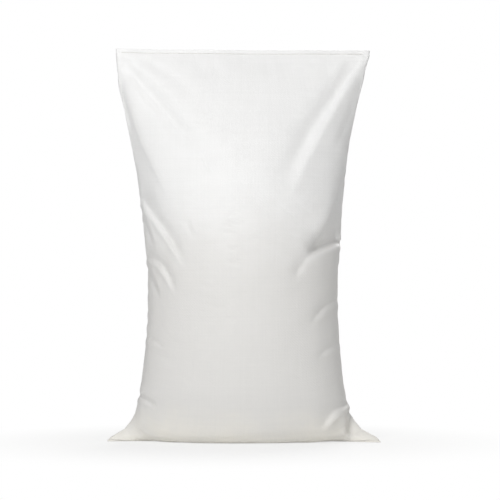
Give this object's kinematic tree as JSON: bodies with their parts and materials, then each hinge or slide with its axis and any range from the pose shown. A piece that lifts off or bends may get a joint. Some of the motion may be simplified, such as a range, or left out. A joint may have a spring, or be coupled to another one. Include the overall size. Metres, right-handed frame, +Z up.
{
  "type": "filled woven feed sack",
  "caption": "Upright filled feed sack of plain white woven plastic: flat sewn top edge, soft tension folds, rounded base with a pointed ear at each bottom corner.",
  "frame": {"origin": "on the ground, under the middle of the sack's overall box", "axes": "+Z up from the base to the sewn top edge; front wall faces -Y; X runs along both seams; Y is the sack's thickness"},
  "size_m": [0.5, 0.2688, 0.735],
  "materials": {
    "woven_polypropylene": "white woven polypropylene tape with a thin clear lamination, satin sheen",
    "sewing_yarn": "off-white spun polyester sewing yarn, matt"
  },
  "bodies": {
    "root": {"sack": "woven_polypropylene", "top_needle_thread": "sewing_yarn", "top_looper_thread": "sewing_yarn", "bottom_needle_thread": "sewing_yarn", "bottom_looper_thread": "sewing_yarn"}
  },
  "joints": []
}
